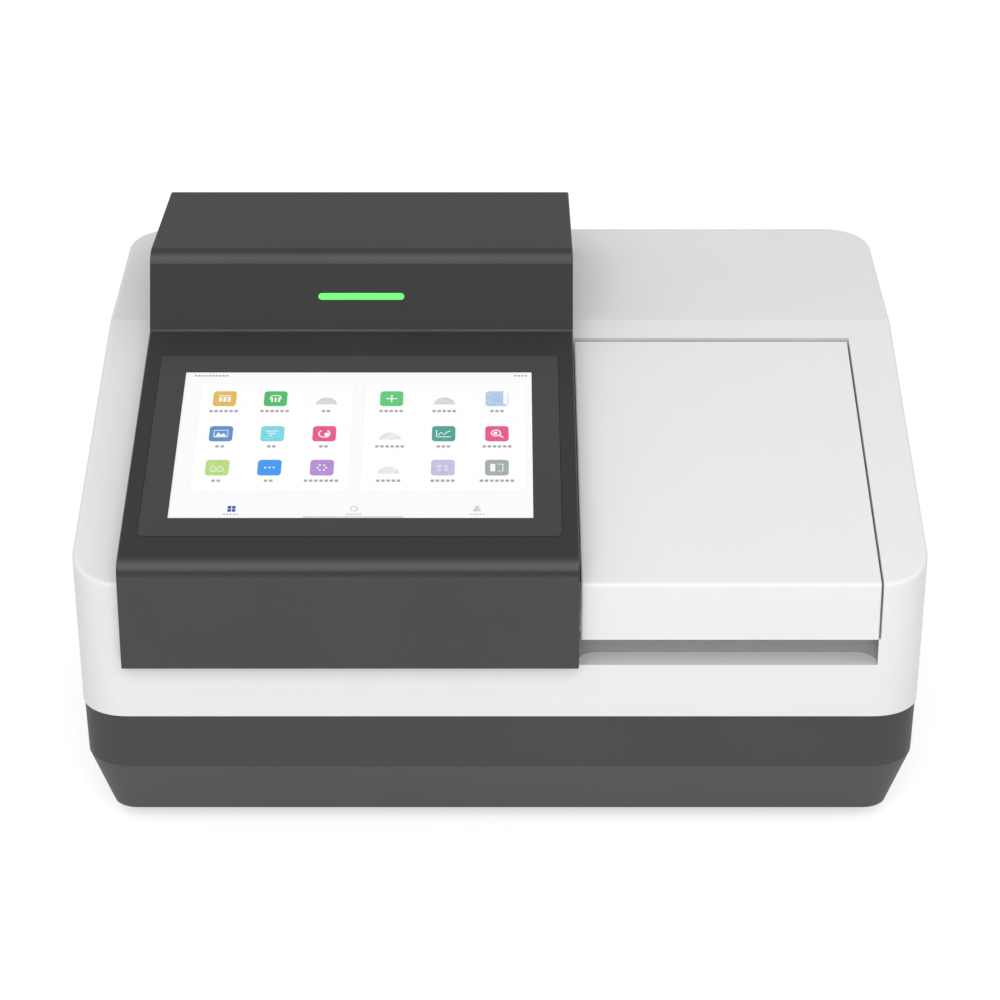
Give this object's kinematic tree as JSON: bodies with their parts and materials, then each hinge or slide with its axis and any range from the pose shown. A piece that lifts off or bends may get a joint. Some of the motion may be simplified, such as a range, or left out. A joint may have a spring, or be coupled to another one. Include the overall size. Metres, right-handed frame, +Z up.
{
  "type": "spectrophotometer with autosampler",
  "caption": "Bench-top spectrophotometer: sloped touch-screen console beside a hinged lid over a rotary cuvette changer, on a dark base tray.",
  "frame": {"origin": "middle of the overall footprint, on the bench under the feet", "axes": "+X to the right as seen from the front, along the longest side; the front faces -Y; +Z up"},
  "size_m": [0.51, 0.392, 0.3],
  "materials": {
    "white_housing": "fine satin moulded white",
    "white_lid": "fine satin moulded white",
    "dark_console": "fine-grained dark grey moulded",
    "dark_base": "fine-grained dark grey moulded",
    "touch_glass": "smooth dark touch glass",
    "lcd": "lit display",
    "green_light": "lit light bar",
    "rubber": "matte rubber",
    "plate": "milled plate",
    "steel": "brushed",
    "zinc_sheet": "plated sheet",
    "circuit_board": "solder-masked board",
    "chamber_black": "light-absorbing black",
    "gear_plastic": "moulded acetal",
    "anodised": "black anodised",
    "quartz": "clear quartz",
    "cap_plastic": "moulded caps",
    "brass": "machined",
    "motor_black": "black enamel",
    "cast_box": "grey enamel on a casting",
    "mirror": "front-silvered",
    "filter_glass": "coloured filter glass",
    "rear_sheet": "grey enamel sheet",
    "black_plastic": "moulded black"
  },
  "bodies": {
    "housing": {"base_tray": "dark_base", "feet": "rubber", "chassis_plate": "plate", "upper_housing": "white_housing", "console_cover": "dark_console", "touch_glass": "touch_glass", "lcd_panel": "lcd", "display_bracket": "zinc_sheet", "display_board": "circuit_board", "status_light": "green_light", "status_board": "circuit_board", "main_board": "circuit_board", "sample_tub": "chamber_black", "chamber_gasket": "rubber", "hinge_brackets": "steel", "hinge_pins": "steel", "hub_post": "plate", "hub_collar": "steel", "detector_head": "anodised", "drive_motor": "motor_black", "home_sensor": "motor_black", "monochromator_housing": "cast_box", "monochromator_cover": "cast_box", "entrance_slit": "steel", "exit_slit": "steel", "collimating_mirror": "mirror", "focusing_mirror": "mirror", "mirror_holders": "anodised", "grating_motor": "motor_black", "beam_tube": "anodised", "beam_window": "quartz", "filter_bracket": "zinc_sheet", "filter_motor": "motor_black", "lamp_house": "zinc_sheet", "tungsten_lamp": "quartz", "deuterium_lamp": "quartz", "beam_combiner": "mirror", "power_supply": "zinc_sheet", "control_board": "circuit_board", "rear_panel": "rear_sheet", "mains_inlet": "black_plastic", "switch_frame": "black_plastic", "usb_ports": "zinc_sheet", "lan_port": "zinc_sheet", "serial_port": "zinc_sheet", "fan_frame": "black_plastic"},
    "lid": {"sample_lid": "white_lid", "lid_liner": "chamber_black"},
    "carousel": {"carousel_gear": "gear_plastic", "carousel_block": "anodised", "cuvettes": "quartz", "cuvette_caps": "cap_plastic"},
    "pinion": {"drive_pinion": "brass", "drive_shaft": "steel"},
    "grating_table": {"grating_turret": "anodised", "grating": "mirror"},
    "filter_disc": {"filter_wheel": "anodised", "filters": "filter_glass"},
    "rocker": {"power_rocker": "black_plastic"},
    "fan": {"fan_rotor": "black_plastic"}
  },
  "joints": [
    {"name": "lid_hinge", "type": "hinge", "parent": "housing", "child": "lid", "pos_m": [0.13635, 0.02664, 0.23158], "axis": [-1, 0, 0], "range_deg": [0, 75]},
    {"name": "carousel_spin", "type": "hinge", "parent": "housing", "child": "carousel", "pos_m": [0.13635, -0.082, 0.0953], "axis": [0, 0, 1], "continuous": true},
    {"name": "pinion_spin", "type": "hinge", "parent": "housing", "child": "pinion", "pos_m": [0.18654, -0.02626, 0.0953], "axis": [0, 0, 1], "continuous": true},
    {"name": "grating_turn", "type": "hinge", "parent": "housing", "child": "grating_table", "pos_m": [-0.006, -0.03, 0.1223], "axis": [0, 0, 1], "range_deg": [-30, 30]},
    {"name": "filter_wheel_spin", "type": "hinge", "parent": "housing", "child": "filter_disc", "pos_m": [0.037, 0.039, 0.1223], "axis": [1, 0, 0], "continuous": true},
    {"name": "power_rocker_tilt", "type": "hinge", "parent": "housing", "child": "rocker", "pos_m": [-0.1, 0.191, 0.118], "axis": [1, 0, 0], "range_deg": [0, 20]},
    {"name": "fan_spin", "type": "hinge", "parent": "housing", "child": "fan", "pos_m": [0.134, 0.181, 0.134], "axis": [0, 1, 0], "continuous": true}
  ],
  "couplings": [
    {"joint": "pinion_spin", "follows": "carousel_spin", "ratio": -4}
  ]
}
